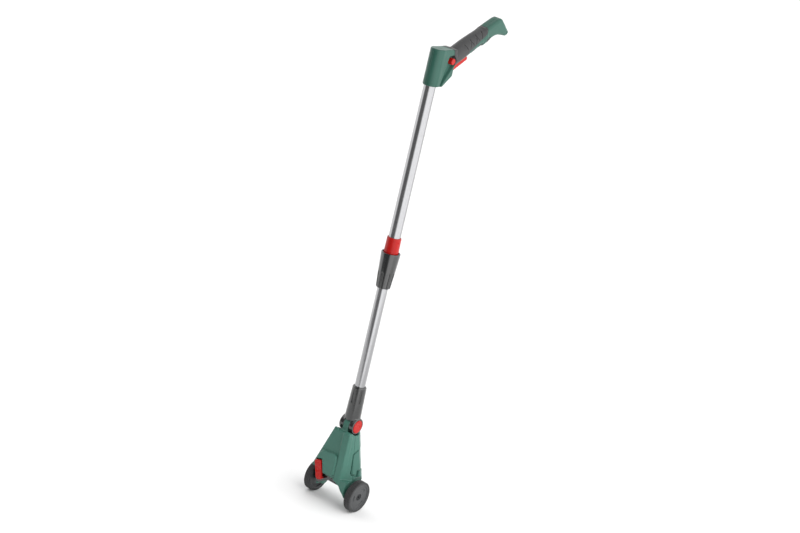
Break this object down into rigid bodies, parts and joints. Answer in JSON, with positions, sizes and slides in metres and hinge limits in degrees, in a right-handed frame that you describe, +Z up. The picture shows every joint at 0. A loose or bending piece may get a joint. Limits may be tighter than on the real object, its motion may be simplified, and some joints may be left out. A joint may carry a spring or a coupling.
{
  "type": "telescopic pole handle",
  "caption": "Telescopic aluminium pole with a trigger grip, twist clamp, tilting fork and a wheeled shoe that docks a cordless garden trimmer.",
  "frame": {"origin": "centre of the dock's flat seat face, on the pole's axis", "axes": "+Z up the pole, +Y to the user's side where the grip points, +X along the wheel axles to the user's left"},
  "size_m": [0.127, 0.253, 1.0556],
  "materials": {
    "green_plastic": "fine-textured glass-filled nylon",
    "black_plastic": "smooth satin",
    "grip_rubber": "soft matte overmould",
    "red_plastic": "smooth semi-gloss",
    "wheel_plastic": "matte moulded",
    "tyre_rubber": "ribbed tread",
    "tube_alloy": "satin anodised",
    "steel": "zinc plated",
    "contact_brass": "bright",
    "lead_sheath": "smooth"
  },
  "bodies": {
    "shoe": {"shoe_front_shell": "green_plastic", "shoe_rear_shell": "green_plastic", "dock_cradle": "black_plastic", "contact_block": "black_plastic", "contact_pins": "contact_brass", "shoe_screws": "steel", "dock_lead": "lead_sheath", "latch_pin": "steel", "latch_spring": "steel", "axle_left": "steel", "axle_right": "steel", "tilt_axle": "steel"},
    "latch": {"latch_lever": "red_plastic"},
    "wheel_left": {"wheel_hub_left": "wheel_plastic", "wheel_tyre_left": "tyre_rubber"},
    "wheel_right": {"wheel_hub_right": "wheel_plastic", "wheel_tyre_right": "tyre_rubber"},
    "lower_pole": {"fork_sleeve": "black_plastic", "lower_tube": "tube_alloy", "guide_bush": "black_plastic", "sleeve_lead": "lead_sheath", "coiled_lead": "lead_sheath", "tilt_spring_left": "steel", "tilt_spring_right": "steel"},
    "tilt_lock_left": {"tilt_button_left": "red_plastic", "tilt_gear_left": "steel"},
    "tilt_lock_right": {"tilt_button_right": "red_plastic", "tilt_gear_right": "steel"},
    "upper_pole": {"upper_tube": "tube_alloy", "clamp_collar": "red_plastic", "clamp_collet": "black_plastic", "upper_lead": "lead_sheath", "handle_shell_left": "green_plastic", "handle_shell_right": "green_plastic", "grip_pad_left": "grip_rubber", "grip_pad_right": "grip_rubber", "handle_screws": "steel", "tube_cross_pin": "steel", "handle_lead": "lead_sheath", "trigger_pin": "steel", "trigger_spring": "steel", "lock_off_spring": "steel", "micro_switch": "black_plastic"},
    "clamp": {"clamp_nut": "black_plastic"},
    "trigger": {"trigger": "red_plastic"},
    "lock_off": {"lock_off_button": "red_plastic"},
    "plunger": {"switch_plunger": "red_plastic"}
  },
  "joints": [
    {"name": "pole_tilt", "type": "hinge", "parent": "shoe", "child": "lower_pole", "pos_m": [0, 0, 0.084], "axis": [1, 0, 0], "range_deg": [-45, 60]},
    {"name": "telescope", "type": "slide", "parent": "lower_pole", "child": "upper_pole", "axis": [0, 0, 1], "range_m": [-0.215, 0.04]},
    {"name": "clamp_turn", "type": "hinge", "parent": "upper_pole", "child": "clamp", "pos_m": [0, 0, 0.43], "axis": [0, 0, 1], "range_deg": [0, 90]},
    {"name": "trigger_pull", "type": "hinge", "parent": "upper_pole", "child": "trigger", "pos_m": [0, 0.0403, 0.8544], "axis": [1, 0, 0], "range_deg": [0, 6], "stiffness_Nm_per_rad": 0.6, "springref_deg": -8.59, "deforming": ["trigger_spring"]},
    {"name": "switch_press", "type": "slide", "parent": "upper_pole", "child": "plunger", "axis": [0, -0.4772, 0.8788], "range_m": [0, 0.003]},
    {"name": "lock_off_slide", "type": "slide", "parent": "upper_pole", "child": "lock_off", "axis": [1, 0, 0], "range_m": [-0.0025, 0.0025], "stiffness_N_per_m": 300, "deforming": ["lock_off_spring"]},
    {"name": "tilt_button_left_press", "type": "slide", "parent": "lower_pole", "child": "tilt_lock_left", "axis": [-1, 0, 0], "range_m": [0, 0.003], "stiffness_N_per_m": 600, "springref_m": -0.003, "deforming": ["tilt_spring_left"]},
    {"name": "tilt_button_right_press", "type": "slide", "parent": "lower_pole", "child": "tilt_lock_right", "axis": [1, 0, 0], "range_m": [0, 0.003], "stiffness_N_per_m": 600, "springref_m": -0.003, "deforming": ["tilt_spring_right"]},
    {"name": "latch_swing", "type": "hinge", "parent": "shoe", "child": "latch", "pos_m": [-0.0355, -0.029, -0.017], "axis": [-0.9563, 0, -0.2924], "range_deg": [0, 15], "stiffness_Nm_per_rad": 0.3, "springref_deg": -17.19, "deforming": ["latch_spring"]},
    {"name": "wheel_left_spin", "type": "hinge", "parent": "shoe", "child": "wheel_left", "pos_m": [0.056, 0, -0.06], "axis": [1, 0, 0], "continuous": true},
    {"name": "wheel_right_spin", "type": "hinge", "parent": "shoe", "child": "wheel_right", "pos_m": [-0.056, 0, -0.06], "axis": [1, 0, 0], "continuous": true}
  ],
  "couplings": [
    {"joint": "switch_press", "follows": "trigger_pull", "m_per_rad": 0.028}
  ]
}
